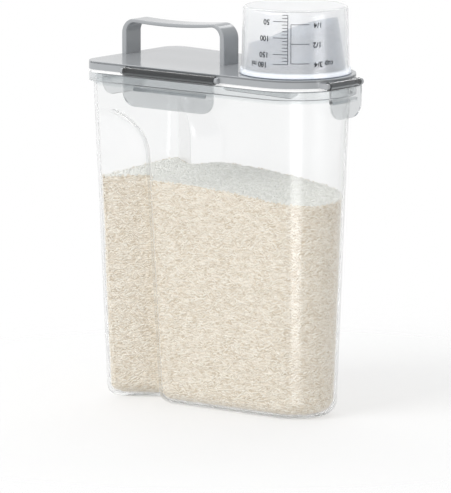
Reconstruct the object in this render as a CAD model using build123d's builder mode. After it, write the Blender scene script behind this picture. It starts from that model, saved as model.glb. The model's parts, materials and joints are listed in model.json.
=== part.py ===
from build123d import *
import os
from math import acos, atan2, cos, hypot, pi, radians, sin, sqrt, tan

# Rice container: a clear drafted bin with two grip scoops, a lid held down by four clips, a carry handle,
# and a pouring spout that a measuring cup closes.
# Millimetres. +X runs forward to the spout, +Y to the left, +Z up. The origin is on the floor, under the middle.

# One overrun serves all cuts
overrun = 5.0

# Lid plan: a straight rear edge, sides that close in a little, and a round nose about the cup's axis
lid_length = 200.0
lid_width = 103.0
lid_corner_radius = 13.0
# The nose's width as a share of the rear edge's
lid_nose_share = 0.835

# Container
rim_height = 238.0
rim_inset = 0.1
rim_band_height = 6.4
rim_band_chamfer = 1.0
wall_inset = 4.3
rear_wall_inset = 3.7
wall = 2.0
floor_thickness = 2.5
draft_angle = 2.2
rear_draft_angle = 0.4
mouth_corner_outer_radius = 7.0
base_corner_radius = 13.0
base_edge_radius = 12.0

# Grip scoops, one on each side of the bin near its rear
grip_top = 210.5
grip_arch_radius = 32.0
grip_step_from_rear = 53.0
# The scoop's depth as a share of the lid's width
grip_depth_share = 0.175
grip_step_angle = 34.0
grip_valley_radius = 5.0
grip_bevel_depth = 1.1
grip_bevel_angle = 62.0

# Lid
gasket_gap = 2.1
lid_skirt_height = 6.0
lid_plate = 2.2
lid_skirt_thickness = 1.8
lid_edge_radius = 0.5
lid_groove_height = 1.0
lid_groove_depth = 1.0
plug_clearance = 0.6
plug_thickness = 1.6
plug_depth = 1.8

# Gasket
gasket_lip_inset = 2.0
gasket_outer_inset = 4.3
gasket_width = 1.8

# Clips and their hinges
side_clip_length = 81.0
side_clip_from_rear = 81.0
front_clip_length = 34.0
rear_clip_length = 48.0
clip_reach = 4.0
clip_height = 27.4
clip_thickness = 2.0
clip_corner_radius = 11.0
clip_edge_radius = 0.6
barrel_radius = 3.0
barrel_clearance = 0.25
trunnion_radius = 1.2
trunnion_clearance = 0.05
trunnion_length = 1.6
lug_thickness = 2.6
lug_radius = 2.2
lug_gap = 0.2
lug_root = 1.4
hinge_lip = 1.2
hinge_pad = 1.75
catch_height = 2.4
catch_clearance = 0.15
catch_drop = 0.3
catch_length_share = 0.8

# Carry handle
handle_from_rear = 1.2
handle_length = 96.5
handle_rear_height = 26.6
handle_front_height = 30.1
handle_dip = 2.4
handle_width = 16.5
handle_leg = 4.4
handle_bar = 2.7
handle_outer_radius = 11.0
handle_inner_radius = 7.5
handle_edge_radius = 0.9
peg_thickness = 2.6
peg_width = 9.0
peg_depth = 1.2
peg_clearance = 0.1

# Pouring spout: its radii follow from the lid's nose and the cup
spout_flange_margin = 3.0
spout_flange = 0.6
spout_cup_clearance = 0.8
spout_taper = 6.5
spout_wall = 1.8
spout_rear_height = 20.0
spout_front_height = 42.6
spout_collar_margin = 3.7
spout_collar = 1.6
spout_collar_clearance = 0.15
spout_collar_drop = 1.8
spout_snap = 0.5
# The mouth's curve: two pulls, along the spout and up its slant, as shares
mouth_rear_share = 0.5
mouth_front_share = 0.72
mouth_low_share = 0.02
mouth_high_share = 0.85

# Measuring cup
cup_flange_margin = 0.7
cup_rim_width = 1.0
cup_rim_height = 2.8
cup_taper = 1.0
cup_height = 47.5
cup_wall = 1.5
cup_end_edge_radius = 3.0

# Places that follow from the sizes
half_length = lid_length / 2
lid_nose_radius = lid_nose_share * lid_width / 2
nose_x = half_length - lid_nose_radius
grip_depth = grip_depth_share * lid_width
draft = radians(draft_angle)
rear_draft = radians(rear_draft_angle)
base_inset = wall_inset + rim_height * tan(draft)
rear_base_inset = rear_wall_inset + rim_height * tan(rear_draft)
skirt_low = rim_height + gasket_gap
lid_top = skirt_low + lid_skirt_height
plate_low = lid_top - lid_plate
corner_from_nose = hypot(nose_x + half_length, lid_width / 2)
side_angle = atan2(lid_width / 2, -(nose_x + half_length)) - acos(lid_nose_radius / corner_from_nose)
side_distance = nose_x * cos(side_angle) + lid_nose_radius
mouth_inset = wall_inset + wall
mouth_corner_radius = mouth_corner_outer_radius - wall
plug_inset = mouth_inset + plug_clearance
plug_corner_radius = mouth_corner_radius - plug_clearance
gasket_inner_inset = gasket_outer_inset + gasket_width
hinge_z = lid_top - hinge_lip - barrel_clearance - barrel_radius
hinge_reach = clip_reach - barrel_radius
hinge_room = barrel_radius + barrel_clearance
cup_low = lid_top + spout_flange
spout_flange_radius = lid_nose_radius - spout_flange_margin
cup_rim_radius = spout_flange_radius - cup_flange_margin
cup_wall_radius = cup_rim_radius - cup_rim_width
cup_end_radius = cup_wall_radius - cup_taper
spout_base_radius = cup_wall_radius - cup_wall - spout_cup_clearance
spout_lip_radius = spout_base_radius - spout_taper
collar_radius = lid_nose_radius - plug_inset - plug_thickness - spout_collar_margin
spout_throat_radius = collar_radius - spout_collar
up = Vector(0, 0, 1)


# The bin's right side: its outward, lengthwise and upward directions, and where its front end meets the floor
side_out = Vector(cos(side_angle) * cos(draft), -sin(side_angle) * cos(draft), -sin(draft))
side_along = Vector(sin(side_angle), cos(side_angle), 0)
side_up = side_out.cross(side_along)
foot_radius = lid_nose_radius - base_inset
side_foot = Vector(nose_x + foot_radius * cos(side_angle), -foot_radius * sin(side_angle), 0)

# The scoop's outline on that side: the middle of its arch, and its step, a line that leans with the draft
arch_x = (grip_step_from_rear - half_length - side_foot.X) / side_along.X - grip_arch_radius * cos(draft)
arch_y = grip_top / cos(draft) - grip_arch_radius
step_foot = arch_x + grip_arch_radius / cos(draft) + arch_y * tan(draft)


def plan_face(inset, corner_radius, rear_inset=None):
    """The lid's plan drawn in by inset all round, or by rear_inset at its rear, with its own corner radius."""
    if rear_inset is None:
        rear_inset = inset
    nose_radius = lid_nose_radius - inset
    corner_x = -half_length + rear_inset + corner_radius
    side_to_corner = side_distance - inset - corner_radius
    corner_y = (side_to_corner - corner_x * cos(side_angle)) / sin(side_angle)
    middle_angle = (pi + side_angle) / 2
    rear = Vector(corner_x - corner_radius, corner_y)
    corner = Vector(corner_x + corner_radius * cos(middle_angle), corner_y + corner_radius * sin(middle_angle))
    side_rear = Vector(corner_x + corner_radius * cos(side_angle), corner_y + corner_radius * sin(side_angle))
    side_front = Vector(nose_x + nose_radius * cos(side_angle), nose_radius * sin(side_angle))
    tip = Vector(nose_x + nose_radius, 0)

    def right(point):
        return Vector(point.X, -point.Y)

    with BuildSketch() as plan:
        with BuildLine():
            Line(right(rear), rear)
            ThreePointArc(rear, corner, side_rear)
            Line(side_rear, side_front)
            ThreePointArc(side_front, tip, right(side_front))
            Line(right(side_front), right(side_rear))
            ThreePointArc(right(side_rear), right(corner), right(rear))
        make_face()
    return plan.sketch


def plan_ring(outer_inset, outer_corner, inner_inset, inner_corner):
    """The ring between two such plans."""
    with BuildSketch() as ring:
        add(plan_face(outer_inset, outer_corner))
        add(plan_face(inner_inset, inner_corner), mode=Mode.SUBTRACT)
    return ring.sketch


def side_y(x):
    """Half the lid's width where its straight side passes x."""
    return (side_distance - x * cos(side_angle)) / sin(side_angle)


def arch_face(arch_radius, rear, far):
    """A scoop's outline on the bin's side, open to the rear and the foot."""
    arch_front = (arch_x + arch_radius * cos(draft), arch_y + arch_radius * sin(draft))
    arch_top = (arch_x, arch_y + arch_radius)
    low_front = (arch_x + arch_radius / cos(draft) + (arch_y + far) * tan(draft), -far)
    with BuildSketch() as outline:
        with BuildLine():
            Line(low_front, arch_front)
            RadiusArc(arch_front, arch_top, -arch_radius)
            Polyline(arch_top, (rear, arch_y + arch_radius), (rear, -far), low_front)
        make_face()
    return outline.sketch


def grip_scoop(grow):
    """What a grip scoop and its bevel take out of the bin's right side, with their faces moved in by grow."""
    step_slope = tan(radians(grip_step_angle))
    step_grow = grow / cos(radians(grip_step_angle))
    start = (rear_base_inset + base_corner_radius - half_length - side_foot.X) / side_along.X
    run = step_foot - start - grip_depth * step_slope
    panel_grow = grow * hypot(run, grip_depth) / run
    far = 2 * grip_depth
    rear = start - 2 * base_corner_radius - base_inset - far

    # All that lies outside the slanted panel at the scoop's back
    with BuildPart() as before_panel:
        with BuildSketch(Plane(side_foot, x_dir=side_along, z_dir=side_up)):
            with BuildLine():
                Polyline(
                    (start - 2 * run, -2 * grip_depth + panel_grow),
                    (start + 2 * run, 2 * grip_depth + panel_grow),
                    (start + 2 * run, -2 * far),
                    (start - 2 * run, -2 * far),
                    close=True,
                )
            make_face()
        extrude(amount=2 * rim_height, dir=side_up - side_along * tan(draft), both=True)

    side_plane = Plane(side_foot, x_dir=side_along, z_dir=side_out)
    with BuildPart() as scoop:
        with BuildSketch(side_plane) as arch:
            add(arch_face(grip_arch_radius + step_grow, rear, far))
        extrude(amount=-(grip_depth + panel_grow + overrun), taper=grip_step_angle)
        extrude(arch.sketch, amount=far)
        add(before_panel.part, mode=Mode.INTERSECT)
        # The panel meets the step and the arch in a round valley
        panel_middle = side_foot + side_along * (start + run / 2) - side_out * (grip_depth / 2)
        panel_middle = panel_middle + side_up * (arch_y / 2)
        panel = scoop.faces().sort_by_distance(panel_middle)[0]
        valley = panel.edges().filter_by(lambda edge: (edge @ 0.5 - side_foot).dot(side_out) < -1)
        fillet(valley.filter_by(lambda edge: (edge @ 0.5).Z > 0), grip_valley_radius + grow)

    # A bevel along the step and the arch
    with BuildPart() as bevel:
        with BuildSketch(side_plane) as wide_arch:
            flare = grip_bevel_depth * (tan(radians(grip_bevel_angle)) - step_slope)
            add(arch_face(grip_arch_radius + step_grow + flare, rear, far))
        extrude(amount=-grip_bevel_depth, taper=grip_bevel_angle)
        extrude(wide_arch.sketch, amount=far)
        add(before_panel.part, mode=Mode.INTERSECT)
    return scoop.part, bevel.part


def bin_form(shrink, low, high):
    """The bin's drafted form from low to high, drawn in by shrink, with its two scoops and rounded foot."""
    scoop, bevel = grip_scoop(shrink)
    with BuildPart() as form:
        for level in (low, high):
            inset = wall_inset + shrink + (rim_height - level) * tan(draft)
            rear_inset = rear_wall_inset + shrink + (rim_height - level) * tan(rear_draft)
            corner_loss = (base_corner_radius - mouth_corner_outer_radius) * level / rim_height
            with BuildSketch(Plane.XY.offset(level)):
                add(plan_face(inset, base_corner_radius - corner_loss - shrink, rear_inset))
        loft(ruled=True)
        add(scoop, mode=Mode.SUBTRACT)
        add(scoop.mirror(Plane.XZ), mode=Mode.SUBTRACT)
        fillet(form.faces().sort_by(Axis.Z)[0].edges(), base_edge_radius - shrink)
        add(bevel, mode=Mode.SUBTRACT)
        add(bevel.mirror(Plane.XZ), mode=Mode.SUBTRACT)
    return form.part


def hinge_plane(edge_point, outward):
    """A clip's section plane: x points out from the lid, y up, and its origin is on the hinge line."""
    centre = edge_point + outward * hinge_reach + up * hinge_z
    return Plane(centre, x_dir=outward, z_dir=outward.cross(up))


def box_face(x_low, x_high, y_low, y_high):
    """A rectangle given by its limits."""
    with BuildSketch() as face:
        with Locations(((x_low + x_high) / 2, (y_low + y_high) / 2)):
            Rectangle(x_high - x_low, y_high - y_low)
    return face.sketch


def clip(plane, length):
    """A clip: a hinge barrel with a stub at each end, a flap that hangs from it, and a catch rib."""
    flap_low = barrel_radius - clip_height
    flap_in = barrel_radius - clip_thickness
    catch_top = rim_height - rim_band_height - catch_drop - hinge_z
    catch_tip = catch_clearance - rim_inset - hinge_reach
    catch_foot = catch_top - catch_height / 2
    with BuildPart() as moulding:
        with BuildSketch(plane):
            add(box_face(flap_in, barrel_radius, flap_low, 0))
        extrude(amount=length / 2, both=True)
        low_corners = moulding.edges().filter_by(Axis(plane.origin, plane.x_dir)).group_by(Axis.Z)[0]
        fillet(low_corners, clip_corner_radius)
        face_edges = moulding.faces().filter_by(lambda face: face.normal_at().dot(plane.x_dir) > 0.99)[0].edges()
        fillet(face_edges.filter_by(lambda edge: (edge @ 0.5).Z < hinge_z - 1), clip_edge_radius)
        with BuildSketch(plane):
            Circle(barrel_radius)
        extrude(amount=length / 2, both=True)
        with BuildSketch(plane):
            with BuildLine():
                Polyline(
                    (flap_in + clip_thickness / 2, catch_top),
                    (catch_tip, catch_top),
                    (catch_tip, catch_foot),
                    (flap_in, catch_foot + catch_tip - flap_in),
                    (flap_in + clip_thickness / 2, catch_foot + catch_tip - flap_in),
                    close=True,
                )
            make_face()
        extrude(amount=catch_length_share * length / 2, both=True)
        with BuildSketch(plane):
            Circle(trunnion_radius)
        extrude(amount=length / 2 + trunnion_length, both=True)
    return moulding.part


# Container: the bin with its rim band, hollowed
with BuildPart() as container_body:
    add(bin_form(0, 0, rim_height))
    with BuildSketch(Plane.XY.offset(rim_height - rim_band_height)):
        add(plan_face(rim_inset, lid_corner_radius - rim_inset))
    extrude(amount=rim_band_height)
    add(bin_form(wall, floor_thickness, rim_height + overrun), mode=Mode.SUBTRACT)

# The four hinges: section plane, clip length, and how far the lid's edge falls away at the clip's ends
side_clip_x = side_clip_from_rear - half_length
right_out = Vector(cos(side_angle), -sin(side_angle), 0)
left_out = Vector(cos(side_angle), sin(side_angle), 0)
right_hinge = hinge_plane(Vector(side_clip_x, -side_y(side_clip_x), 0), right_out)
left_hinge = hinge_plane(Vector(side_clip_x, side_y(side_clip_x), 0), left_out)
front_hinge = hinge_plane(Vector(half_length, 0, 0), Vector(1, 0, 0))
rear_hinge = hinge_plane(Vector(-half_length, 0, 0), Vector(-1, 0, 0))
front_lug_end = front_clip_length / 2 + lug_gap + lug_thickness
front_fall = lid_nose_radius - sqrt(lid_nose_radius**2 - front_lug_end**2)
hinges = (
    (right_hinge, side_clip_length, 0),
    (left_hinge, side_clip_length, 0),
    (front_hinge, front_clip_length, front_fall),
    (rear_hinge, rear_clip_length, 0),
)

# Lid: plate, skirt and plug wall, with a notch, a backing pad and two lugs for each clip
handle_rear = handle_from_rear - half_length
handle_front = handle_rear + handle_length
peg_places = ((handle_rear + handle_leg / 2, 0), (handle_front - handle_leg / 2, 0))
with BuildPart() as lid_panel:
    with BuildSketch(Plane.XY.offset(plate_low)):
        add(plan_face(0, lid_corner_radius))
    extrude(amount=lid_plate)
    with BuildSketch(Plane.XY.offset(skirt_low)):
        skirt_inner_corner = lid_corner_radius - lid_skirt_thickness
        add(plan_ring(0, lid_corner_radius, lid_skirt_thickness, skirt_inner_corner))
    extrude(amount=plate_low - skirt_low)
    with BuildSketch(Plane.XY.offset(rim_height - plug_depth)):
        plug_inner = plug_inset + plug_thickness
        add(plan_ring(plug_inset, plug_corner_radius, plug_inner, plug_corner_radius - plug_thickness))
    extrude(amount=plate_low - rim_height + plug_depth)
    for plane, length, fall in hinges:
        with BuildSketch(plane):
            add(box_face(-hinge_room - hinge_pad, -hinge_room, skirt_low - hinge_z, plate_low - hinge_z))
        extrude(amount=length / 2 + lug_gap + lug_thickness, both=True)
    with BuildSketch(Plane.XY.offset(rim_height - plug_depth)):
        add(plan_face(0, lid_corner_radius))
    extrude(amount=lid_top - rim_height + plug_depth, mode=Mode.INTERSECT)
    fillet(lid_panel.faces().sort_by(Axis.Z)[-1].outer_wire().edges(), lid_edge_radius)
    with BuildSketch(Plane.XY.offset(lid_top - lid_edge_radius)):
        groove_corner = lid_corner_radius - lid_groove_depth
        add(plan_ring(-overrun, lid_corner_radius + overrun, lid_groove_depth, groove_corner))
    extrude(amount=-lid_groove_height, mode=Mode.SUBTRACT)
    for plane, length, fall in hinges:
        with BuildSketch(plane):
            add(box_face(-hinge_room, hinge_room + overrun, skirt_low - hinge_z - overrun, hinge_room))
        extrude(amount=length / 2 + lug_gap, both=True, mode=Mode.SUBTRACT)
    for plane, length, fall in hinges:
        lug_start = length / 2 + lug_gap
        for lug_plane in (plane.offset(lug_start), plane.offset(-lug_start - lug_thickness)):
            with BuildSketch(lug_plane):
                Circle(lug_radius)
                add(box_face(-hinge_reach - fall - lug_root, 0, skirt_low - hinge_z, lug_radius))
            extrude(amount=lug_thickness)
        with BuildSketch(plane):
            Circle(trunnion_radius + trunnion_clearance)
        extrude(amount=lug_start + trunnion_length, both=True, mode=Mode.SUBTRACT)
    with BuildSketch(Plane.XY.offset(lid_top)):
        with Locations((nose_x, 0)):
            Circle(collar_radius + spout_collar_clearance)
    extrude(amount=-lid_plate - overrun, mode=Mode.SUBTRACT)
    with BuildSketch(Plane.XY.offset(lid_top)):
        with Locations(*peg_places):
            Rectangle(peg_thickness + 2 * peg_clearance, peg_width + 2 * peg_clearance)
    extrude(amount=-peg_depth - peg_clearance, mode=Mode.SUBTRACT)

# Gasket: a ring in the lid's channel and the lip it lies on the rim with
with BuildPart() as lid_gasket:
    gasket_inner_corner = lid_corner_radius - gasket_inner_inset
    with BuildSketch(Plane.XY.offset(rim_height)):
        lip_corner = lid_corner_radius - gasket_lip_inset
        add(plan_ring(gasket_lip_inset, lip_corner, gasket_inner_inset, gasket_inner_corner))
    extrude(amount=gasket_gap)
    with BuildSketch(Plane.XY.offset(skirt_low)):
        ring_corner = lid_corner_radius - gasket_outer_inset
        add(plan_ring(gasket_outer_inset, ring_corner, gasket_inner_inset, gasket_inner_corner))
    extrude(amount=plate_low - skirt_low)

# Clips
clip_right = clip(right_hinge, side_clip_length)
clip_left = clip(left_hinge, side_clip_length)
clip_front = clip(front_hinge, front_clip_length)
clip_rear = clip(rear_hinge, rear_clip_length)

# Carry handle: a strap on two legs with a shallow dip along its bar, and a peg under each leg
with BuildPart() as carry_handle:
    handle_middle = (handle_rear + handle_front) / 2
    rear_top = lid_top + handle_rear_height
    front_top = lid_top + handle_front_height
    middle_top = (rear_top + front_top) / 2 - handle_dip
    with BuildSketch(Plane.XZ) as strap:
        with BuildLine():
            Line((handle_front, front_top), (handle_front, lid_top))
            Line((handle_front, lid_top), (handle_rear, lid_top))
            Line((handle_rear, lid_top), (handle_rear, rear_top))
            ThreePointArc((handle_rear, rear_top), (handle_middle, middle_top), (handle_front, front_top))
        make_face()
        fillet(strap.vertices().sort_by(Axis.Y)[-2:], handle_outer_radius)
        with BuildSketch(Plane.XZ, mode=Mode.SUBTRACT) as finger_gap:
            gap_rear = handle_rear + handle_leg
            gap_front = handle_front - handle_leg
            gap_rear_top = rear_top - handle_bar
            gap_front_top = front_top - handle_bar
            gap_middle_top = middle_top - handle_bar
            with BuildLine():
                Line((gap_front, gap_front_top), (gap_front, lid_top))
                Line((gap_front, lid_top), (gap_rear, lid_top))
                Line((gap_rear, lid_top), (gap_rear, gap_rear_top))
                ThreePointArc((gap_rear, gap_rear_top), (handle_middle, gap_middle_top), (gap_front, gap_front_top))
            make_face()
            fillet(finger_gap.vertices().sort_by(Axis.Y)[-2:], handle_inner_radius)
    extrude(amount=handle_width / 2, both=True)
    flank_edges = carry_handle.faces().filter_by(Axis.Y).edges()
    fillet(flank_edges.filter_by(lambda edge: (edge @ 0.5).Z > lid_top + 1), handle_edge_radius)
    with BuildSketch(Plane.XY.offset(lid_top)):
        with Locations(*peg_places):
            Rectangle(peg_thickness, peg_width)
    extrude(amount=-peg_depth)

# Pouring spout: a flange on the lid, a collar snapped through it, and a cone with a slanted mouth
with BuildPart() as pour_spout:
    spout_axis = Axis((nose_x, 0, 0), (0, 0, 1))
    collar_low = plate_low - spout_collar_drop
    spout_top = lid_top + spout_front_height
    with BuildSketch(Plane.XZ):
        with BuildLine():
            Polyline(
                (nose_x + spout_throat_radius, collar_low),
                (nose_x + collar_radius, collar_low),
                (nose_x + collar_radius + spout_snap, plate_low - spout_collar_drop / 2),
                (nose_x + collar_radius + spout_snap, plate_low),
                (nose_x + collar_radius, plate_low),
                (nose_x + collar_radius, lid_top),
                (nose_x + spout_flange_radius, lid_top),
                (nose_x + spout_flange_radius, cup_low),
                (nose_x + spout_base_radius, cup_low),
                (nose_x + spout_lip_radius, spout_top),
                (nose_x + spout_lip_radius - spout_wall, spout_top),
                (nose_x + spout_base_radius - spout_wall, cup_low),
                (nose_x + spout_throat_radius, cup_low),
                close=True,
            )
        make_face()
    revolve(axis=spout_axis)
    with BuildSketch(Plane.XZ):
        mouth_rear = nose_x - spout_base_radius
        mouth_front = nose_x + spout_base_radius
        mouth_low = lid_top + spout_rear_height
        mouth_rise = spout_front_height - spout_rear_height
        mouth_length = mouth_front - mouth_rear
        with BuildLine():
            Bezier(
                (mouth_rear, mouth_low),
                (mouth_rear + mouth_rear_share * mouth_length, mouth_low + mouth_low_share * mouth_rise),
                (mouth_rear + mouth_front_share * mouth_length, mouth_low + mouth_high_share * mouth_rise),
                (mouth_front, spout_top),
            )
            Polyline(
                (mouth_front, spout_top), (mouth_front, spout_top + overrun), (mouth_rear, spout_top + overrun),
                (mouth_rear, mouth_low),
            )
        make_face()
    extrude(amount=spout_flange_radius, both=True, mode=Mode.SUBTRACT)

# Measuring cup: it stands upside down over the spout, its rim on the spout's flange
with BuildPart() as measuring_cup:
    cup_axis = Axis((nose_x, 0, 0), (0, 0, 1))
    cup_high = cup_low + cup_height
    with BuildSketch(Plane.XZ) as half_section:
        with BuildLine():
            Polyline(
                (nose_x + cup_wall_radius - cup_wall, cup_low),
                (nose_x + cup_rim_radius, cup_low),
                (nose_x + cup_rim_radius, cup_low + cup_rim_height),
                (nose_x + cup_wall_radius, cup_low + cup_rim_height),
                (nose_x + cup_end_radius, cup_high),
                (nose_x, cup_high),
                (nose_x, cup_high - cup_wall),
                (nose_x + cup_end_radius - cup_wall, cup_high - cup_wall),
                close=True,
            )
        make_face()
        end_corner = half_section.vertices().sort_by_distance((nose_x + cup_end_radius, cup_high))[0]
        fillet(end_corner, cup_end_edge_radius)
        inner_corner = (nose_x + cup_end_radius - cup_wall, cup_high - cup_wall)
        fillet(half_section.vertices().sort_by_distance(inner_corner)[0], cup_end_edge_radius - cup_wall)
    revolve(axis=cup_axis)

pieces = {
    "container_body": container_body.part,
    "lid_panel": lid_panel.part,
    "lid_gasket": lid_gasket.part,
    "clip_right": clip_right,
    "clip_left": clip_left,
    "clip_front": clip_front,
    "clip_rear": clip_rear,
    "carry_handle": carry_handle.part,
    "pour_spout": pour_spout.part,
    "measuring_cup": measuring_cup.part,
}
os.makedirs("parts", exist_ok=True)
for name, piece in pieces.items():
    piece.label = name
    export_step(piece, f"parts/{name}.step")
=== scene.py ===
import json
import math

import bmesh
import bpy
from mathutils import Matrix, Vector

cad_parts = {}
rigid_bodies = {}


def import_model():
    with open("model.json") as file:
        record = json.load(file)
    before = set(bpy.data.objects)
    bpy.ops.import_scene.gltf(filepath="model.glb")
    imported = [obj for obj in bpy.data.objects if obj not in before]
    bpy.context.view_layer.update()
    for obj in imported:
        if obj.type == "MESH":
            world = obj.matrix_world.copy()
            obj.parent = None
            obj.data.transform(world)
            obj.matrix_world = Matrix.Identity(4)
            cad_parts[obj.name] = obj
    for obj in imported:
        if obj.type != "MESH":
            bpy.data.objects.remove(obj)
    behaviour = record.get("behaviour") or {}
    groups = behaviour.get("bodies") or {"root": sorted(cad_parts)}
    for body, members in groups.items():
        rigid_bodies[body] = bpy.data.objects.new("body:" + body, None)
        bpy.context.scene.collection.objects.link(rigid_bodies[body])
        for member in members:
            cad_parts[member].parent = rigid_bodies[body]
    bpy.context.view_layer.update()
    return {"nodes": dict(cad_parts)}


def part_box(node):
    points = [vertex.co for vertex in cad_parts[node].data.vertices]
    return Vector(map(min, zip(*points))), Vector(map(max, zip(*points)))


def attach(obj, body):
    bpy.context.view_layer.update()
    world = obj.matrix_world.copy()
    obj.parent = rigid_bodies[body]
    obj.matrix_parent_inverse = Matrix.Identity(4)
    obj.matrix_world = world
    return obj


for thing in list(bpy.data.objects):
    bpy.data.objects.remove(thing)
scene = bpy.context.scene
scene.view_settings.view_transform = "Standard"
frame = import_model()
nodes = frame["nodes"]
MM = 0.001

# Bin: a clear injection-moulded container with drafted walls, a rim band and a grip scoop on each side.
# Clear polymer about 2 mm thick, polished outside, with the faint ripple and haze that moulded walls have.
# The rim band is thicker than the walls, and its base colour is painted greyer: painted shade for how the
# thick band looks.
DRIFT_PER_METRE = 25.0
RIPPLES_PER_METRE = 60.0
SCUFF_TURN = (0.2, 0.1, 0.5)
SCUFFS_PER_METRE = (60.0, 1100.0, 160.0)
SCUFF_BEGINS = 0.62
SCUFF_FULL = 0.74
SCUFF_ROUGHNESS = 0.06
RIM_BAND_LOW = 227.5 * MM
RIM_BAND_HIGH = 230.0 * MM
RIM_BAND_PAINTED_SHADE = (0.80, 0.82, 0.83)


def set_values(node, values):
    """Sets a node's own sockets, each by its name or number."""
    for socket, value in values.items():
        node.inputs[socket].default_value = value


def new_node(tree, kind, values=None):
    """Adds a node of this kind, with these values on its sockets."""
    node = tree.nodes.new(kind)
    set_values(node, values or {})
    return node


def arithmetic(tree, operation, values=None):
    """Adds a node that does this arithmetic."""
    node = new_node(tree, "ShaderNodeMath", values)
    node.operation = operation
    return node


def two_tones(tree, first, second):
    """Adds a node that mixes two colours."""
    tones = tree.nodes.new("ShaderNodeMix")
    tones.data_type = "RGBA"
    set_values(tones, {"A": (*first, 1.0), "B": (*second, 1.0)})
    return tones


def new_material(name, finish):
    """A material whose shader has these values all over; gives its node tree and its shader as well."""
    material = bpy.data.materials.new(name)
    material.use_nodes = True
    shader = material.node_tree.nodes["Principled BSDF"]
    set_values(shader, finish)
    return material, material.node_tree, shader


def moulded_surface():
    """A node group: slow drift for colour and gloss, fine scuffs in the gloss, and a low ripple."""
    tree = bpy.data.node_groups.new("moulded_surface", "ShaderNodeTree")
    for socket_name in ("Smooth", "Rough", "Ripple"):
        tree.interface.new_socket(socket_name, in_out="INPUT", socket_type="NodeSocketFloat")
    for socket_name, socket_type in (("Drift", "Float"), ("Roughness", "Float"), ("Normal", "Vector")):
        tree.interface.new_socket(socket_name, in_out="OUTPUT", socket_type="NodeSocket" + socket_type)
    ins = new_node(tree, "NodeGroupInput")
    outs = new_node(tree, "NodeGroupOutput")
    place = new_node(tree, "ShaderNodeTexCoord")
    drift = new_node(tree, "ShaderNodeTexNoise", {"Scale": DRIFT_PER_METRE, "Detail": 3.0})
    ripple = new_node(tree, "ShaderNodeTexNoise", {"Scale": RIPPLES_PER_METRE, "Detail": 1.0})
    gloss = new_node(tree, "ShaderNodeMapRange")
    along = new_node(tree, "ShaderNodeMapping", {"Rotation": SCUFF_TURN, "Scale": SCUFFS_PER_METRE})
    streaks = new_node(tree, "ShaderNodeTexNoise", {"Scale": 1.0, "Detail": 2.0})
    few = new_node(tree, "ShaderNodeMapRange", {"From Min": SCUFF_BEGINS, "From Max": SCUFF_FULL})
    scuffed = arithmetic(tree, "MULTIPLY_ADD", {1: SCUFF_ROUGHNESS})
    bump = new_node(tree, "ShaderNodeBump", {"Distance": MM})
    link = tree.links.new
    link(place.outputs["Object"], drift.inputs["Vector"])
    link(place.outputs["Object"], ripple.inputs["Vector"])
    link(place.outputs["Object"], along.inputs["Vector"])
    link(along.outputs["Vector"], streaks.inputs["Vector"])
    link(streaks.outputs["Fac"], few.inputs["Value"])
    link(drift.outputs["Fac"], gloss.inputs["Value"])
    link(ins.outputs["Smooth"], gloss.inputs["To Min"])
    link(ins.outputs["Rough"], gloss.inputs["To Max"])
    link(few.outputs["Result"], scuffed.inputs[0])
    link(gloss.outputs["Result"], scuffed.inputs[2])
    link(ripple.outputs["Fac"], bump.inputs["Height"])
    link(ins.outputs["Ripple"], bump.inputs["Strength"])
    link(drift.outputs["Fac"], outs.inputs["Drift"])
    link(scuffed.outputs[0], outs.inputs["Roughness"])
    link(bump.outputs["Normal"], outs.inputs["Normal"])
    return tree


moulded = moulded_surface()


def moulded_plastic(name, light, dark, gloss, ripple, finish):
    """A moulded plastic: its colour drifts between two near tones, and its gloss between two roughnesses."""
    material, tree, shader = new_material(name, finish)
    surface = tree.nodes.new("ShaderNodeGroup")
    surface.node_tree = moulded
    set_values(surface, {"Smooth": gloss[0], "Rough": gloss[1], "Ripple": ripple})
    tone = two_tones(tree, light, dark)
    link = tree.links.new
    link(surface.outputs["Drift"], tone.inputs["Factor"])
    link(tone.outputs["Result"], shader.inputs["Base Color"])
    link(surface.outputs["Roughness"], shader.inputs["Roughness"])
    link(surface.outputs["Normal"], shader.inputs["Normal"])
    return material


def colour_by_height(material, low, high, colour, socket):
    """A second colour from one height up to another, mixed over what already feeds this socket."""
    tree = material.node_tree
    fed = tree.nodes["Principled BSDF"].inputs[socket]
    place = new_node(tree, "ShaderNodeTexCoord")
    apart = new_node(tree, "ShaderNodeSeparateXYZ")
    share = new_node(tree, "ShaderNodeMapRange", {"From Min": low, "From Max": high})
    share.interpolation_type = "SMOOTHSTEP"
    over = two_tones(tree, (0.0, 0.0, 0.0), colour)
    link = tree.links.new
    link(place.outputs["Object"], apart.inputs["Vector"])
    link(apart.outputs["Z"], share.inputs["Value"])
    link(share.outputs["Result"], over.inputs["Factor"])
    if fed.is_linked:
        link(fed.links[0].from_socket, over.inputs["A"])
    link(over.outputs["Result"], fed)


def let_lamps_through(material, tint):
    """Lamp and bounce rays pass straight through a clear plastic, so what is inside is lit."""
    tree = material.node_tree
    path = new_node(tree, "ShaderNodeLightPath")
    lamp_or_bounce = arithmetic(tree, "MAXIMUM")
    film = new_node(tree, "ShaderNodeBsdfTransparent", {"Color": (*tint, 1.0)})
    either = new_node(tree, "ShaderNodeMixShader")
    link = tree.links.new
    link(path.outputs["Is Shadow Ray"], lamp_or_bounce.inputs[0])
    link(path.outputs["Is Diffuse Ray"], lamp_or_bounce.inputs[1])
    link(lamp_or_bounce.outputs[0], either.inputs[0])
    link(tree.nodes["Principled BSDF"].outputs["BSDF"], either.inputs[1])
    link(film.outputs["BSDF"], either.inputs[2])
    link(either.outputs["Shader"], tree.nodes["Material Output"].inputs["Surface"])


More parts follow.
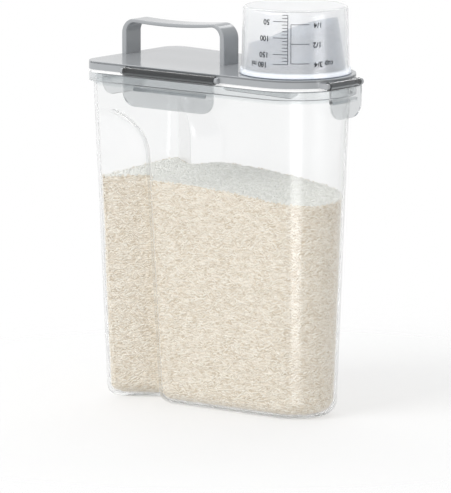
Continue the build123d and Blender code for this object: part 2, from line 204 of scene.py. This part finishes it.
def tint_through(material, colour, density):
    """A tint in the plastic itself: the longer the way through it, the deeper its colour."""
    tree = material.node_tree
    tint = new_node(tree, "ShaderNodeVolumeAbsorption", {"Color": (*colour, 1.0), "Density": density})
    tree.links.new(tint.outputs["Volume"], tree.nodes["Material Output"].inputs["Volume"])


def dress(node_name, material):
    """A CAD node keeps its shape and takes this material."""
    nodes[node_name].data.materials.clear()
    nodes[node_name].data.materials.append(material)


bin_plastic = moulded_plastic(
    "clear_bin_plastic",
    light=(0.99, 0.99, 0.99),
    dark=(0.97, 0.975, 0.975),
    gloss=(0.03, 0.07),
    ripple=0.003,
    finish={
        "IOR": 1.04,
        "Transmission Weight": 1.0,
        "Coat Weight": 1.0,
        "Coat Roughness": 0.2,
        "Sheen Weight": 1.0,
        "Sheen Roughness": 0.3,
    },
)
# Painted shade: the rim band takes a greyer base colour than the rest of the bin.
colour_by_height(bin_plastic, RIM_BAND_LOW, RIM_BAND_HIGH, RIM_BAND_PAINTED_SHADE, "Base Color")
let_lamps_through(bin_plastic, tint=(0.985, 0.985, 0.985))
tint_through(bin_plastic, colour=(0.3, 0.34, 0.35), density=8.0)
dress("container_body", bin_plastic)

# Rice: the dry grain that the bin is filled with, up to about two thirds of its height.
# A core takes the shape of the bin's inside, and loose grains lie against the walls, the floor and on top.
RICE_TOP = Vector((-43 * MM, 0, 163.5 * MM))
RICE_UP = Vector((0.045, -0.05, 1.0)).normalized()
RICE_TOP_FACING = 0.8
RICE_TOP_LOWEST = 0.8 * RICE_TOP.z
RICE_HEAP = 2.5 * MM
RICE_HEAP_HALF_LENGTH = 65 * MM
RICE_WALL_GAP = 1.25 * MM
RICE_SLICE = 10 * MM
RICE_SLICES_EACH_WAY = 9
SAME_POINT = 0.001 * MM
GRAIN_LENGTH = 3.9 * MM
GRAIN_WIDTH = 1.45 * MM
GRAIN_THICKNESS = 0.85 * GRAIN_WIDTH
GRAIN_SIDES = 5
GRAIN_RINGS = 3
GRAIN_TIP = 0.4
GRAIN_FULLNESS = 1.25
GRAIN_SPACING = 1.45 * MM
GRAINS_PER_AREA = 1000000.0
GRAIN_TURN = (0.2, 0.2, 0.8)
GRAIN_SMALLEST = 0.8
GRAIN_LARGEST = 1.1
GRAIN_OWN_TONE = 0.5
SPREAD_SEED = 7
TURN_SEED = 11
SIZE_SEED = 13


def cut_through(bm, point, direction, clear_outer=False):
    """Cuts a bmesh along a plane, and drops what lies outside it if asked."""
    everything = bm.verts[:] + bm.edges[:] + bm.faces[:]
    bmesh.ops.bisect_plane(bm, geom=everything, plane_co=point, plane_no=direction, clear_outer=clear_outer)


def drop_outer_shell(bm):
    """Takes the outer of two shells away: the one that holds the lowest point."""
    lowest = min(bm.verts, key=lambda vert: vert.co.z)
    outer = {lowest}
    front = [lowest]
    while front:
        vert = front.pop()
        for edge in vert.link_edges:
            other = edge.other_vert(vert)
            if other not in outer:
                outer.add(other)
                front.append(other)
    bmesh.ops.delete(bm, geom=list(outer), context="VERTS")


def rice_core():
    """A copy of the bin's inner shell up to the rice's level, drawn in from the wall and closed on top."""
    bm = bmesh.new()
    bm.from_mesh(nodes["container_body"].data)
    bmesh.ops.remove_doubles(bm, verts=bm.verts, dist=SAME_POINT)
    # The cut parts the outer shell from the inner one
    cut_through(bm, RICE_TOP, RICE_UP, clear_outer=True)
    drop_outer_shell(bm)
    bmesh.ops.reverse_faces(bm, faces=bm.faces)
    bm.normal_update()
    for vert in bm.verts:
        vert.co -= vert.normal * RICE_WALL_GAP
    rim = [edge for edge in bm.edges if edge.is_boundary]
    bmesh.ops.edgeloop_fill(bm, edges=rim)
    bmesh.ops.triangulate(bm, faces=bm.faces)
    bmesh.ops.recalc_face_normals(bm, faces=bm.faces)
    cut_through(bm, (0, 0, 0), (0, 1, 0))
    for across in range(-RICE_SLICES_EACH_WAY, RICE_SLICES_EACH_WAY + 1):
        cut_through(bm, (across * RICE_SLICE, 0, 0), (1, 0, 0))
    # The free surface is a low heap along the bin
    for vert in bm.verts:
        if (vert.co - RICE_TOP).dot(RICE_UP) > -RICE_WALL_GAP:
            vert.co.z += RICE_HEAP * (1 - (vert.co.x / RICE_HEAP_HALF_LENGTH) ** 2)
    bm.normal_update()
    return bm


def as_mesh(name, bm):
    """A mesh of what a bmesh holds, which is then let go."""
    mesh = bpy.data.meshes.new(name)
    bm.to_mesh(mesh)
    bm.free()
    return mesh


def rice_grain():
    """One grain: a slim five-sided spindle lying along X, with two tips and a full middle."""
    bm = bmesh.new()
    bmesh.ops.create_uvsphere(bm, u_segments=GRAIN_SIDES, v_segments=GRAIN_RINGS, radius=0.5)
    for vert in bm.verts:
        if abs(vert.co.z) <= GRAIN_TIP:
            vert.co.z *= GRAIN_FULLNESS
    bmesh.ops.rotate(bm, verts=bm.verts, matrix=Matrix.Rotation(math.pi / 2, 3, "Y"))
    bmesh.ops.scale(bm, verts=bm.verts, vec=(GRAIN_LENGTH, GRAIN_WIDTH, GRAIN_THICKNESS))
    return bpy.data.objects.new("rice_grain", as_mesh("rice_grain", bm))


def grain_spreader(grain):
    """Geometry nodes that lay grains on a surface, each flat to it, turned and tipped its own way."""
    tree = bpy.data.node_groups.new("lay_grains", "GeometryNodeTree")
    tree.interface.new_socket("Geometry", in_out="INPUT", socket_type="NodeSocketGeometry")
    tree.interface.new_socket("Geometry", in_out="OUTPUT", socket_type="NodeSocketGeometry")
    ins = new_node(tree, "NodeGroupInput")
    outs = new_node(tree, "NodeGroupOutput")
    spread = tree.nodes.new("GeometryNodeDistributePointsOnFaces")
    spread.distribute_method = "POISSON"
    set_values(spread, {"Distance Min": GRAIN_SPACING, "Density Max": GRAINS_PER_AREA, "Seed": SPREAD_SEED})
    info = new_node(tree, "GeometryNodeObjectInfo", {"Object": grain})
    turn = tree.nodes.new("FunctionNodeRandomValue")
    turn.data_type = "FLOAT_VECTOR"
    set_values(turn, {"Min": [-angle for angle in GRAIN_TURN], "Max": GRAIN_TURN, "Seed": TURN_SEED})
    as_rotation = new_node(tree, "FunctionNodeEulerToRotation")
    turned = new_node(tree, "FunctionNodeRotateRotation")
    turned.rotation_space = "LOCAL"
    size_values = {"Min": GRAIN_SMALLEST, "Max": GRAIN_LARGEST, "Seed": SIZE_SEED}
    size = new_node(tree, "FunctionNodeRandomValue", size_values)
    place = new_node(tree, "GeometryNodeInstanceOnPoints")
    real = new_node(tree, "GeometryNodeRealizeInstances")
    link = tree.links.new
    link(ins.outputs["Geometry"], spread.inputs["Mesh"])
    link(spread.outputs["Points"], place.inputs["Points"])
    link(info.outputs["Geometry"], place.inputs["Instance"])
    link(turn.outputs["Value"], as_rotation.inputs["Euler"])
    link(spread.outputs["Rotation"], turned.inputs["Rotation"])
    link(as_rotation.outputs["Rotation"], turned.inputs["Rotate By"])
    link(turned.outputs["Rotation"], place.inputs["Rotation"])
    link(size.outputs["Value"], place.inputs["Scale"])
    link(place.outputs["Instances"], real.inputs["Geometry"])
    link(real.outputs["Geometry"], outs.inputs["Geometry"])
    return tree


def put_in_scene(name, mesh, material):
    """An object of this mesh, in this material."""
    piece = bpy.data.objects.new(name, mesh)
    scene.collection.objects.link(piece)
    mesh.materials.clear()
    mesh.materials.append(material)
    return piece


def finished_mesh(holder):
    """The mesh that an object comes out as, with its modifiers applied; the object itself goes."""
    scene.collection.objects.link(holder)
    depsgraph = bpy.context.evaluated_depsgraph_get()
    mesh = bpy.data.meshes.new_from_object(holder.evaluated_get(depsgraph))
    bpy.data.objects.remove(holder)
    return mesh


def lay_grains(name, bed, laying, material):
    """A piece made of the grains that the spreader's nodes lay on this bed."""
    holder = bpy.data.objects.new(name + "_bed", as_mesh(name + "_bed", bed))
    modifier = holder.modifiers.new("lay_grains", "NODES")
    modifier.node_group = laying
    grains = finished_mesh(holder)
    grains.name = name
    grains.polygons.foreach_set("use_smooth", [True] * len(grains.polygons))
    return put_in_scene(name, grains, material)


def polished_rice(name, light, dark):
    """Polished rice grains: each has its own tone between two, darker in patches, with a dull gloss."""
    material, tree, shader = new_material(name, {"Roughness": 0.55, "Specular IOR Level": 0.3})
    own = new_node(tree, "ShaderNodeNewGeometry")
    place = new_node(tree, "ShaderNodeTexCoord")
    patches = new_node(tree, "ShaderNodeTexNoise", {"Scale": 320.0, "Detail": 3.0})
    darker = new_node(tree, "ShaderNodeMapRange", {"From Min": 0.5, "From Max": 0.72, "To Max": 0.6})
    share = arithmetic(tree, "MULTIPLY_ADD", {1: GRAIN_OWN_TONE})
    share.use_clamp = True
    tone = two_tones(tree, light, dark)
    chalk = new_node(tree, "ShaderNodeTexNoise", {"Scale": 900.0})
    bump = new_node(tree, "ShaderNodeBump", {"Strength": 0.15, "Distance": 0.2 * MM})
    link = tree.links.new
    link(place.outputs["Object"], patches.inputs["Vector"])
    link(patches.outputs["Fac"], darker.inputs["Value"])
    link(own.outputs["Random Per Island"], share.inputs[0])
    link(darker.outputs["Result"], share.inputs[2])
    link(share.outputs[0], tone.inputs["Factor"])
    link(tone.outputs["Result"], shader.inputs["Base Color"])
    link(place.outputs["Object"], chalk.inputs["Vector"])
    link(chalk.outputs["Fac"], bump.inputs["Height"])
    link(bump.outputs["Normal"], shader.inputs["Normal"])
    return material


def packed_rice(light, dark, top):
    """The grains under the outer layer: long cells, each with its own tone, round between dark seams; lighter
    where they face up, which is painted light on the rice's free surface.
    """
    material, tree, shader = new_material("packed_rice", {"Roughness": 0.7, "Specular IOR Level": 0.2})
    place = new_node(tree, "ShaderNodeTexCoord")
    lying = new_node(tree, "ShaderNodeMapping", {"Scale": (260.0, 260.0, 600.0)})
    cells = new_node(tree, "ShaderNodeTexVoronoi", {"Scale": 1.0})
    own = new_node(tree, "ShaderNodeSeparateColor")
    tone = two_tones(tree, light, dark)
    facing = new_node(tree, "ShaderNodeNewGeometry")
    upright = new_node(tree, "ShaderNodeSeparateXYZ")
    # Painted light: faces that look up, on the rice's free surface, turn to the lighter top tone.
    painted_light_mask = new_node(tree, "ShaderNodeMapRange", {"From Min": 0.6, "From Max": 0.9})
    painted_light_on_top = two_tones(tree, light, top)
    bump = new_node(tree, "ShaderNodeBump", {"Strength": 0.6, "Distance": 0.6 * MM})
    bump.invert = True
    link = tree.links.new
    link(place.outputs["Object"], lying.inputs["Vector"])
    link(lying.outputs["Vector"], cells.inputs["Vector"])
    link(cells.outputs["Color"], own.inputs["Color"])
    link(own.outputs["Red"], tone.inputs["Factor"])
    link(facing.outputs["Normal"], upright.inputs["Vector"])
    link(upright.outputs["Z"], painted_light_mask.inputs["Value"])
    link(painted_light_mask.outputs["Result"], painted_light_on_top.inputs["Factor"])
    link(tone.outputs["Result"], painted_light_on_top.inputs["A"])
    link(painted_light_on_top.outputs["Result"], shader.inputs["Base Color"])
    link(cells.outputs["Distance"], bump.inputs["Height"])
    link(bump.outputs["Normal"], shader.inputs["Normal"])
    return material


def part_of(bm, keep):
    """A copy of a bmesh with only the faces that keep() picks."""
    piece = bm.copy()
    unwanted = [face for face in piece.faces if not keep(face)]
    bmesh.ops.delete(piece, geom=unwanted, context="FACES")
    return piece


def is_top(face):
    """Whether a face of the core is the rice's free surface."""
    high_up = face.calc_center_median().z > RICE_TOP_LOWEST
    return high_up and face.normal.dot(RICE_UP) > RICE_TOP_FACING


def at_wall(face, rear, right):
    """Whether a face of the core lies against the bin, in this quarter of it."""
    middle = face.calc_center_median()
    return not is_top(face) and (middle.x < 0) == rear and (middle.y < 0) == right


core = rice_core()
beds = {
    "rice_rear_right": part_of(core, lambda face: at_wall(face, rear=True, right=True)),
    "rice_rear_left": part_of(core, lambda face: at_wall(face, rear=True, right=False)),
    "rice_front_right": part_of(core, lambda face: at_wall(face, rear=False, right=True)),
    "rice_front_left": part_of(core, lambda face: at_wall(face, rear=False, right=False)),
    "rice_top": part_of(core, is_top),
}
core_mesh = as_mesh("rice_core", core)
# The third tone is painted light for the core's free surface.
core_rice = packed_rice(light=(0.93, 0.86, 0.75), dark=(0.66, 0.56, 0.43), top=(0.86, 0.86, 0.82))
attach(put_in_scene("rice_core", core_mesh, core_rice), "container")
grain = rice_grain()
spreader = grain_spreader(grain)
pressed_rice = polished_rice("polished_rice", light=(0.97, 0.92, 0.82), dark=(0.72, 0.62, 0.48))
# The grains on top take lighter, whiter tones than those against the walls: painted light on the free
# surface.
painted_light_top_rice = polished_rice("painted_light_top_rice", light=(0.97, 0.97, 0.93), dark=(0.78, 0.78, 0.72))
for bed_name, bed in beds.items():
    rice_material = painted_light_top_rice if bed_name == "rice_top" else pressed_rice
    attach(lay_grains(bed_name, bed, spreader, rice_material), "container")
bpy.data.objects.remove(grain)

# Gasket: a white silicone ring that lies between the lid and the bin's rim.
# Soft, matt and waxy, moulded in one piece; a faint white emission is a painted glow that keeps it bright in
# the shade of the lid's skirt.
silicone = moulded_plastic(
    "white_silicone_painted_glow",
    light=(0.95, 0.95, 0.94),
    dark=(0.90, 0.90, 0.89),
    gloss=(0.45, 0.6),
    ripple=0.05,
    # The white emission is a painted glow: the gasket is no lamp.
    finish={"Emission Color": (1.0, 1.0, 1.0, 1.0), "Emission Strength": 0.3},
)
dress("lid_gasket", silicone)

# Lid, and the handle that stands on it: one light grey glossy polymer, opaque.
# The lid is a flat plate with a skirt; the strap handle is welded on by a peg under each leg.
lid_grey = moulded_plastic(
    "light_grey_plastic",
    light=(0.405, 0.42, 0.435),
    dark=(0.375, 0.39, 0.405),
    gloss=(0.08, 0.16),
    ripple=0.015,
    finish={"IOR": 1.5},
)
dress("lid_panel", lid_grey)
dress("carry_handle", lid_grey)

# Clips: four smoke-tinted clear flaps, each with a solid barrel that turns between two lugs of the lid.
# The thick barrel and the catch rib look dark, and the thin flap pale, because the tint is in the plastic.
# The barrel's band also has a darker base colour, which is painted shade. The long side clips are darker than
# the short ones at the ends, with deeper tint and deeper painted shade on the barrel.
BARREL_SHADE_LOW = 237.6 * MM
BARREL_SHADE_HIGH = 238.8 * MM


def smoke_plastic(name, density, barrel_shade_tone):
    """Smoke-tinted clear plastic; its barrel band takes a darker base colour, painted shade, which the thin
    flap doesn't show.
    """
    material = moulded_plastic(
        name,
        light=(0.97, 0.97, 0.97),
        dark=(0.93, 0.93, 0.93),
        gloss=(0.06, 0.14),
        ripple=0.02,
        finish={
            "IOR": 1.15,
            "Transmission Weight": 1.0,
            "Coat Weight": 1.0,
            "Coat Roughness": 0.08,
            "Coat IOR": 1.6,
        },
    )
    # Painted shade: the barrel's band is darker in base colour.
    colour_by_height(material, BARREL_SHADE_LOW, BARREL_SHADE_HIGH, (barrel_shade_tone, barrel_shade_tone, barrel_shade_tone), "Base Color")
    let_lamps_through(material, tint=(0.85, 0.85, 0.85))
    tint_through(material, colour=(0.42, 0.46, 0.48), density=density)
    return material


side_smoke = smoke_plastic("side_clip_smoke", density=300.0, barrel_shade_tone=0.4)
end_smoke = smoke_plastic("end_clip_smoke", density=210.0, barrel_shade_tone=0.8)
for clip_name in ("clip_right", "clip_left"):
    dress(clip_name, side_smoke)
for clip_name in ("clip_front", "clip_rear"):
    dress(clip_name, end_smoke)

# Spout: a blue-grey cone with a slanted S-curved mouth, snapped through the lid under the cup.
# Tinted polymer with a soft gloss, clear enough for light to come through its walls.
spout_grey = moulded_plastic(
    "spout_grey_plastic",
    light=(0.36, 0.43, 0.52),
    dark=(0.32, 0.39, 0.48),
    gloss=(0.1, 0.16),
    ripple=0.02,
    finish={
        "IOR": 1.06,
        "Transmission Weight": 0.85,
        "Coat Weight": 1.0,
        "Coat Roughness": 0.2,
        "Coat IOR": 1.5,
    },
)
let_lamps_through(spout_grey, tint=(0.75, 0.78, 0.82))
dress("pour_spout", spout_grey)

# Cup: a clear measuring cup, turned upside down over the spout, with its scale printed in dark grey outside.
# Clear polymer with a slight haze; its thick rim carries a painted glow, an emission that brightens its edge.
# The scale stands on its head, because the cup does: the marks run down from the cup's end to its rim.
CUP_AXIS = Vector((57.0, 0.0, 0.0)) * MM
CUP_RADIUS_LOW = 38.31 * MM
CUP_RADIUS_HIGH = 37.31 * MM
CUP_RIM_HEIGHT = 2.8 * MM
cup_low, cup_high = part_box("measuring_cup")
cup_wall_low = cup_low.z + CUP_RIM_HEIGHT
PAINTED_RIM_GLOW_BEGINS = cup_wall_low + 1.0 * MM
PAINTED_RIM_GLOW_FULL = cup_wall_low - 0.5 * MM
PAINTED_RIM_GLOW = (0.28, 0.29, 0.31)
PRINT_AZIMUTH = math.radians(40.27)
PRINT_GAP = 0.01 * MM
PRINT_THICKNESS = 0.05 * MM
LINE_WIDTH = 0.37 * MM
LINE_STEPS = 12
FIGURE_SIZE = 5.3 * MM
FIGURE_BOLDNESS = 0.1 * MM
FIGURE_DROP = 0.6 * MM
SCALE_LINE = -6.0 * MM
SHORT_MARK = 4.1 * MM
LONG_MARK = 11.0 * MM
MARK_STEP = 2.33 * MM
MARK_OF_50 = 5
HEIGHT_OF_50 = 287.0 * MM
FIRST_MARK = 3
LAST_MARK = 18
# The figures, each with its mark, one to every 10 ml, and its place across
FIGURES = (
    ("50", MARK_OF_50, -22.4 * MM),
    ("100", 10, -24.0 * MM),
    ("150", 15, -24.4 * MM),
    ("180 ml", LAST_MARK, -29.0 * MM),
)
BRACKET_LINE = -3.7 * MM
BRACKET_MARK = 13.3 * MM
# The quarters of a cup, each with its height and its place across
QUARTERS = (
    ("1/4", 285.0 * MM, 16.3 * MM),
    ("1/2", 271.2 * MM, 15.6 * MM),
    ("cup 3/4", 257.3 * MM, 21.0 * MM),
)

cup_plastic = moulded_plastic(
    "clear_cup_plastic",
    light=(0.985, 0.99, 0.995),
    dark=(0.96, 0.965, 0.97),
    gloss=(0.03, 0.08),
    ripple=0.004,
    finish={
        "IOR": 1.04,
        "Transmission Weight": 0.74,
        "Coat Weight": 0.8,
        "Coat Roughness": 0.24,
        "Coat IOR": 1.8,
        "Sheen Weight": 0.5,
        "Sheen Roughness": 0.3,
        "Emission Strength": 1.0,
    },
)
# Painted glow: an emission colour that rises towards the cup's rim.
colour_by_height(cup_plastic, PAINTED_RIM_GLOW_BEGINS, PAINTED_RIM_GLOW_FULL, PAINTED_RIM_GLOW, "Emission Color")
let_lamps_through(cup_plastic, tint=(0.97, 0.975, 0.98))
dress("measuring_cup", cup_plastic)

scale_print = bmesh.new()


def print_bar(across, height, length, width):
    """A flat bar of the print, drawn across and up, fine enough to bend round the cup."""
    made = bmesh.ops.create_grid(scale_print, x_segments=LINE_STEPS, y_segments=LINE_STEPS, size=0.5)
    bmesh.ops.scale(scale_print, verts=made["verts"], vec=(length, width, 1.0))
    bmesh.ops.translate(scale_print, verts=made["verts"], vec=(across, height, 0.0))


def print_words(words, across, height):
    """Words of the print, standing on their head."""
    lettering = bpy.data.curves.new(words, "FONT")
    lettering.body = words
    lettering.size = FIGURE_SIZE
    lettering.offset = FIGURE_BOLDNESS
    lettering.align_x = "CENTER"
    lettering.align_y = "CENTER"
    mesh = finished_mesh(bpy.data.objects.new(words, lettering))
    mesh.transform(Matrix.Translation((across, height, 0.0)) @ Matrix.Rotation(math.pi, 4, "Z"))
    scale_print.from_mesh(mesh)
    bpy.data.meshes.remove(mesh)


def mark_height(mark):
    """The height of a mark of the scale, counted in tens of millilitres."""
    return HEIGHT_OF_50 - (mark - MARK_OF_50) * MARK_STEP


def bend_round_cup(bm):
    """Wraps flat art round the cup's tapered wall, its middle towards the print's azimuth."""
    for vert in bm.verts:
        share = (vert.co.y - cup_wall_low) / (cup_high.z - cup_wall_low)
        radius = CUP_RADIUS_LOW + share * (CUP_RADIUS_HIGH - CUP_RADIUS_LOW) + PRINT_GAP
        angle = PRINT_AZIMUTH + vert.co.x / CUP_RADIUS_LOW
        vert.co = CUP_AXIS + Vector((radius * math.sin(angle), -radius * math.cos(angle), vert.co.y))


def printing_ink():
    """Dark grey pad-printing ink: dull, with a thin uneven film."""
    material, tree, shader = new_material("dark_grey_ink", {"Roughness": 0.8, "Specular IOR Level": 0.1})
    place = new_node(tree, "ShaderNodeTexCoord")
    film = new_node(tree, "ShaderNodeTexNoise", {"Scale": 700.0})
    tone = two_tones(tree, (0.035, 0.037, 0.04), (0.07, 0.073, 0.078))
    link = tree.links.new
    link(place.outputs["Object"], film.inputs["Vector"])
    link(film.outputs["Fac"], tone.inputs["Factor"])
    link(tone.outputs["Result"], shader.inputs["Base Color"])
    return material


marks_top = mark_height(FIRST_MARK)
marks_low = mark_height(LAST_MARK)
print_bar(SCALE_LINE, (marks_top + marks_low) / 2, LINE_WIDTH, marks_top - marks_low)
figured_marks = [mark for words, mark, across in FIGURES]
for mark in range(FIRST_MARK, LAST_MARK + 1):
    mark_length = LONG_MARK if mark in figured_marks else SHORT_MARK
    print_bar(SCALE_LINE - mark_length / 2, mark_height(mark), mark_length, LINE_WIDTH)
for words, mark, across in FIGURES:
    print_words(words, across, mark_height(mark) - FIGURE_DROP)
bracket_top = QUARTERS[0][1]
bracket_low = QUARTERS[-1][1]
print_bar(BRACKET_LINE, (bracket_top + bracket_low) / 2, LINE_WIDTH, bracket_top - bracket_low)
for words, height, across in QUARTERS:
    print_bar(BRACKET_LINE + BRACKET_MARK / 2, height, BRACKET_MARK, LINE_WIDTH)
    print_words(words, across, height - FIGURE_DROP)
bmesh.ops.triangulate(scale_print, faces=scale_print.faces)
bend_round_cup(scale_print)
bmesh.ops.recalc_face_normals(scale_print, faces=scale_print.faces)
for face in scale_print.faces:
    outwards = face.calc_center_median() - CUP_AXIS
    outwards.z = 0.0
    if face.normal.dot(outwards) < 0:
        face.normal_flip()
cup_scale = put_in_scene("cup_scale", as_mesh("cup_scale", scale_print), printing_ink())
film_of_ink = cup_scale.modifiers.new("film_of_ink", "SOLIDIFY")
film_of_ink.thickness = PRINT_THICKNESS
film_of_ink.offset = 1.0
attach(cup_scale, "cup")

# Floor, light and camera: a white studio with soft light from above and from the camera's left.
# Two low lamps give the bin's nose and the spout their upright reflections.
# The floor is a pale disc that fades into the white behind it, so it keeps the soft shadow only.
VIEW_AZIMUTH = math.radians(40.27)
VIEW_ELEVATION = math.radians(9.45)
VIEW_DISTANCE = 5.5
VIEW_TARGET = Vector((-4.6 * MM, -3.9 * MM, 115 * MM))
VIEW_LENS = 562.0
VIEW_SENSOR = 36.0
VIEW_REACH = 50.0
LAMP_TARGET = Vector((0, 0, 150 * MM))
SKY_LIGHT = 0.66
SKY_WHITE = 1.0
FLOOR_RADIUS = 0.7
FLOOR_CORNERS = 96
FLOOR_DROP = 0.05 * MM
FLOOR_WHITE = (0.95, 0.95, 0.95, 1.0)
FLOOR_FADE = {"From Min": 0.1, "From Max": 0.55, "To Min": 0.52}


def looking_from(azimuth, elevation):
    """The direction from the object to a viewer or a lamp."""
    flat = math.cos(elevation)
    return Vector((math.sin(azimuth) * flat, -math.cos(azimuth) * flat, math.sin(elevation)))


def aim(name, data, target, distance, direction):
    """Puts a camera or a lamp at this distance from its target, and turns it to look there."""
    holder = bpy.data.objects.new(name, data)
    holder.location = target + distance * direction
    holder.rotation_mode = "QUATERNION"
    holder.rotation_quaternion = direction.to_track_quat("Z", "Y")
    scene.collection.objects.link(holder)
    return holder


def softbox(name, azimuth, elevation, distance, width, height, power):
    """A lamp with a flat rectangular face that looks at the object."""
    lamp_data = bpy.data.lights.new(name, "AREA")
    lamp_data.shape = "RECTANGLE"
    lamp_data.size = width
    lamp_data.size_y = height
    lamp_data.energy = power
    direction = looking_from(math.radians(azimuth), math.radians(elevation))
    aim(name, lamp_data, LAMP_TARGET, distance, direction)


camera_data = bpy.data.cameras.new("camera")
camera_data.lens = VIEW_LENS
camera_data.sensor_width = VIEW_SENSOR
camera_data.clip_end = VIEW_REACH
view_direction = looking_from(VIEW_AZIMUTH, VIEW_ELEVATION)
scene.camera = aim("camera", camera_data, VIEW_TARGET, VIEW_DISTANCE, view_direction)

softbox("front_lamp", azimuth=-14, elevation=36, distance=2.6, width=1.6, height=1.6, power=32.0)
softbox("back_lamp", azimuth=-140, elevation=46, distance=1.9, width=2.2, height=0.35, power=8.0)
softbox("strip_lamp", azimuth=42, elevation=-14, distance=2.8, width=1.15, height=0.6, power=5.2)
softbox("side_lamp", azimuth=94, elevation=-4, distance=2.2, width=1.0, height=0.16, power=2.6)

# The sky is white where it is seen, mirrored or seen through a clear piece, and lights the object less
world = bpy.data.worlds.new("white_studio")
scene.world = world
world.use_nodes = True
sky_tree = world.node_tree
sky = sky_tree.nodes["Background"]
set_values(sky, {"Color": (1.0, 1.0, 1.0, 1.0)})
sky_path = new_node(sky_tree, "ShaderNodeLightPath")
seen_or_mirrored = arithmetic(sky_tree, "MAXIMUM")
seen_at_all = arithmetic(sky_tree, "MAXIMUM")
sky_strength = new_node(sky_tree, "ShaderNodeMapRange", {"To Min": SKY_LIGHT, "To Max": SKY_WHITE})
sky_link = sky_tree.links.new
sky_link(sky_path.outputs["Is Camera Ray"], seen_or_mirrored.inputs[0])
sky_link(sky_path.outputs["Is Glossy Ray"], seen_or_mirrored.inputs[1])
sky_link(seen_or_mirrored.outputs[0], seen_at_all.inputs[0])
sky_link(sky_path.outputs["Is Transmission Ray"], seen_at_all.inputs[1])
sky_link(seen_at_all.outputs[0], sky_strength.inputs["Value"])
sky_link(sky_strength.outputs["Result"], sky.inputs["Strength"])

floor_finish = {"Base Color": FLOOR_WHITE, "Roughness": 0.7, "Specular IOR Level": 0.2}
floor_paint, floor_tree, floor_shader = new_material("white_floor", floor_finish)
floor_place = new_node(floor_tree, "ShaderNodeTexCoord")
from_middle = new_node(floor_tree, "ShaderNodeVectorMath")
from_middle.operation = "LENGTH"
fade = new_node(floor_tree, "ShaderNodeMapRange", FLOOR_FADE)
fade.interpolation_type = "SMOOTHERSTEP"
beyond = new_node(floor_tree, "ShaderNodeBsdfTransparent")
floor_or_white = new_node(floor_tree, "ShaderNodeMixShader")
floor_link = floor_tree.links.new
floor_link(floor_place.outputs["Object"], from_middle.inputs[0])
floor_link(from_middle.outputs["Value"], fade.inputs["Value"])
floor_link(fade.outputs["Result"], floor_or_white.inputs[0])
floor_link(floor_shader.outputs["BSDF"], floor_or_white.inputs[1])
floor_link(beyond.outputs["BSDF"], floor_or_white.inputs[2])
floor_link(floor_or_white.outputs["Shader"], floor_tree.nodes["Material Output"].inputs["Surface"])
floor_disc = bmesh.new()
bmesh.ops.create_circle(floor_disc, cap_ends=True, segments=FLOOR_CORNERS, radius=FLOOR_RADIUS)
floor = put_in_scene("floor", as_mesh("floor", floor_disc), floor_paint)
floor.location.z = -FLOOR_DROP
